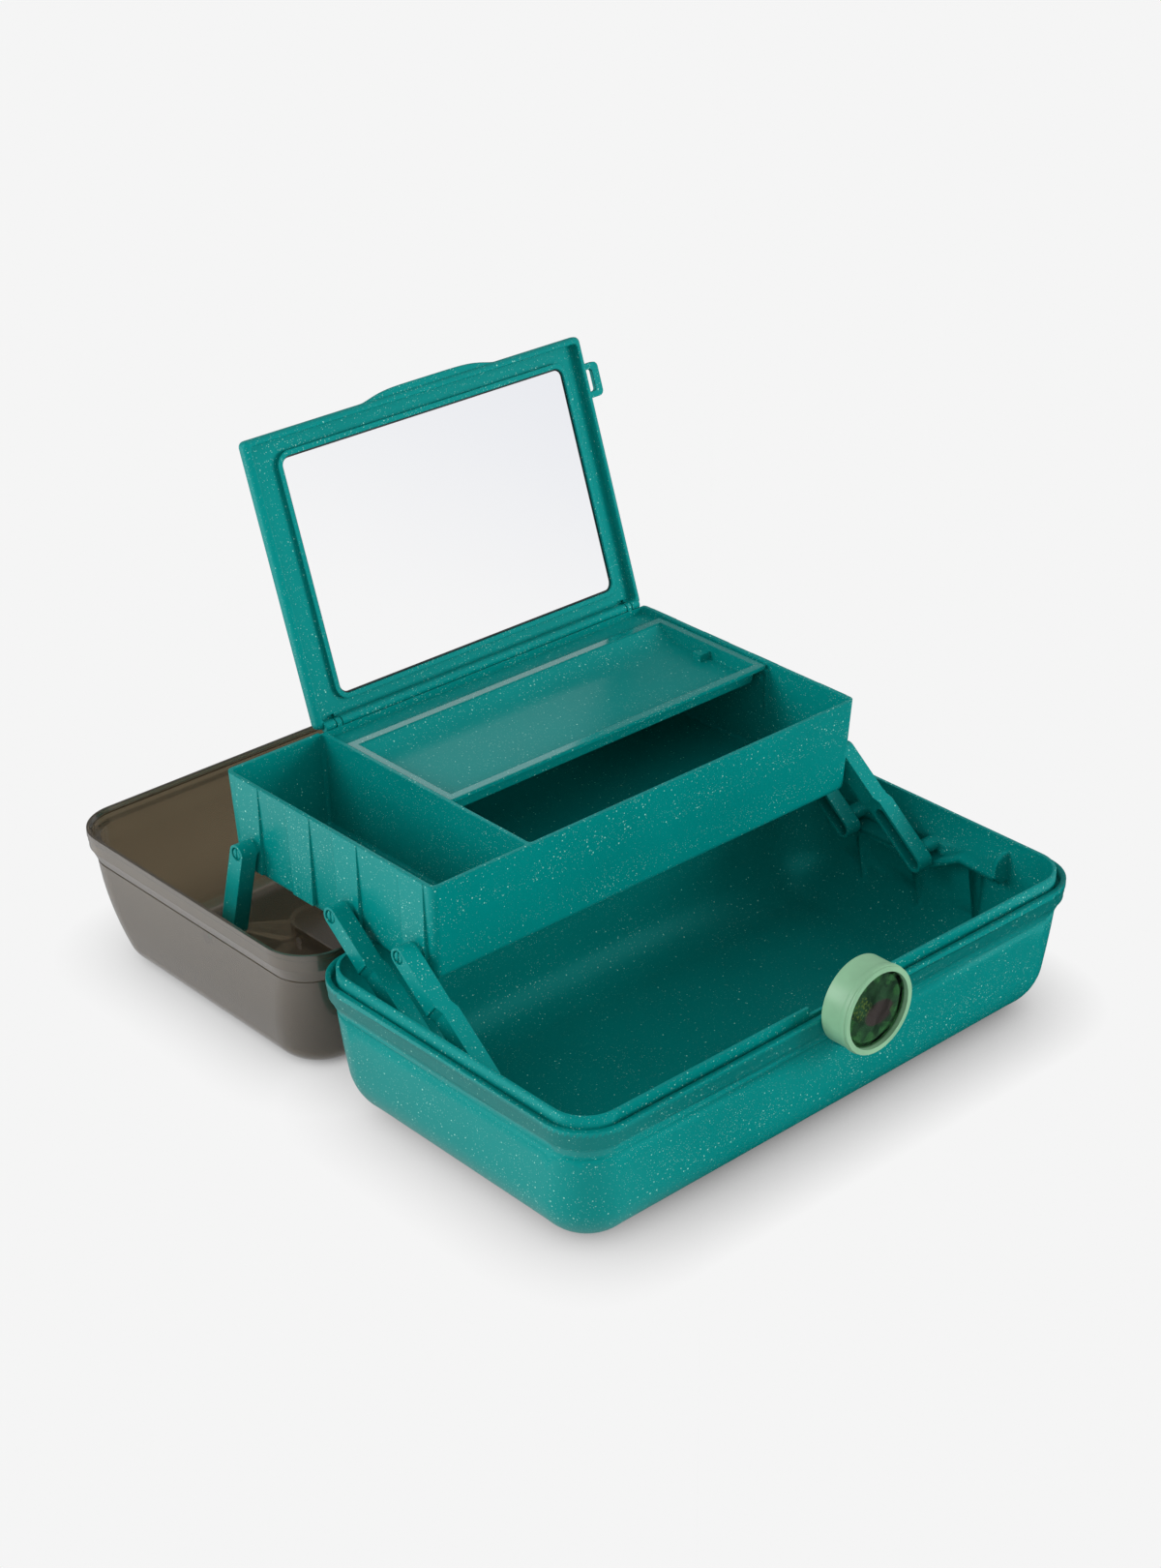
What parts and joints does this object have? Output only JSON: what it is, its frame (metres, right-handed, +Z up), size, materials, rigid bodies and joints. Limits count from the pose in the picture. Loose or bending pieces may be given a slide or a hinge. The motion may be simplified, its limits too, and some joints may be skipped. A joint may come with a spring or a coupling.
{
  "type": "makeup storage case with handle",
  "caption": "Green glitter makeup storage case lying open, its smoky lid folded back, lift-up tray raised, sliding inner tray, tilting mirror, round latch and a handle folded in the lid.",
  "frame": {"origin": "middle of the flat underside of the base", "axes": "+Z up, -Y towards the latch at the front, +X to the right end of the case as its user sees it; rest pose is the case opened flat with the lid lying on its back behind the base"},
  "size_m": [0.33, 0.3964, 0.2665],
  "materials": {
    "green_plastic": "moulded, fine pale glitter",
    "smoke_plastic": "translucent smoke, satin",
    "mint_plastic": "satin",
    "printed_disc": "printed",
    "clear_cover": "clear",
    "mirror_glass": "silvered",
    "steel": "drawn wire"
  },
  "bodies": {
    "base": {"base_shell": "green_plastic", "latch_pin": "steel", "lid_hinge_pins": "steel", "base_arm_pins": "green_plastic"},
    "lid": {"lid_shell": "smoke_plastic", "lid_arm_pins": "green_plastic", "handle_pins": "steel"},
    "front_arms": {"front_arm_left": "green_plastic", "front_arm_right": "green_plastic"},
    "middle_arms": {"middle_arm_left": "green_plastic", "middle_arm_right": "green_plastic"},
    "rear_arms": {"rear_arm_left": "green_plastic", "rear_arm_right": "green_plastic", "rear_studs": "green_plastic"},
    "tray_body": {"tray": "green_plastic", "front_studs": "green_plastic", "middle_studs": "green_plastic", "mirror_hinge_pins": "steel"},
    "insert_body": {"insert_tray": "green_plastic"},
    "mirror_body": {"mirror_frame": "green_plastic", "mirror_glass": "mirror_glass"},
    "latch_body": {"latch_ring": "mint_plastic", "latch_disc": "printed_disc", "latch_lens": "clear_cover"},
    "handle_body": {"handle": "green_plastic"}
  },
  "joints": [
    {"name": "lid_hinge", "type": "hinge", "parent": "base", "child": "lid", "pos_m": [0, 0.0962, 0.07215], "axis": [1, 0, 0], "range_deg": [0, 180]},
    {"name": "front_arm_swing", "type": "hinge", "parent": "base", "child": "front_arms", "pos_m": [0, -0.0024, 0.0553], "axis": [1, 0, 0], "range_deg": [0, 129.6]},
    {"name": "middle_arm_swing", "type": "hinge", "parent": "base", "child": "middle_arms", "pos_m": [0, 0.0463, 0.0553], "axis": [1, 0, 0], "range_deg": [0, 129.6]},
    {"name": "tray_level", "type": "hinge", "parent": "front_arms", "child": "tray_body", "pos_m": [0, 0.04612, 0.0939], "axis": [1, 0, 0], "range_deg": [-129.6, 0]},
    {"name": "rear_arm_swing", "type": "hinge", "parent": "lid", "child": "rear_arms", "pos_m": [0, 0.17783, 0.05117], "axis": [1, 0, 0], "range_deg": [0, 48.64]},
    {"name": "mirror_fold", "type": "hinge", "parent": "tray_body", "child": "mirror_body", "pos_m": [0, 0.18832, 0.1308], "axis": [1, 0, 0], "range_deg": [0, 109.47]},
    {"name": "insert_slide", "type": "slide", "parent": "tray_body", "child": "insert_body", "axis": [0, -1, 0], "range_m": [0, 0.045]},
    {"name": "latch_hinge", "type": "hinge", "parent": "base", "child": "latch_body", "pos_m": [0, -0.098, 0.0562], "axis": [1, 0, 0], "range_deg": [0, 70]},
    {"name": "handle_hinge", "type": "hinge", "parent": "lid", "child": "handle_body", "pos_m": [0, 0.2084, 0.0039], "axis": [1, 0, 0], "range_deg": [0, 90]}
  ],
  "couplings": [
    {"joint": "front_arm_swing", "follows": "lid_hinge", "ratio": 0.71944},
    {"joint": "middle_arm_swing", "follows": "lid_hinge", "ratio": 0.71944},
    {"joint": "tray_level", "follows": "lid_hinge", "ratio": -0.71944},
    {"joint": "rear_arm_swing", "follows": "lid_hinge", "ratio": 0.26967},
    {"joint": "mirror_fold", "follows": "lid_hinge", "ratio": 0.60761}
  ]
}
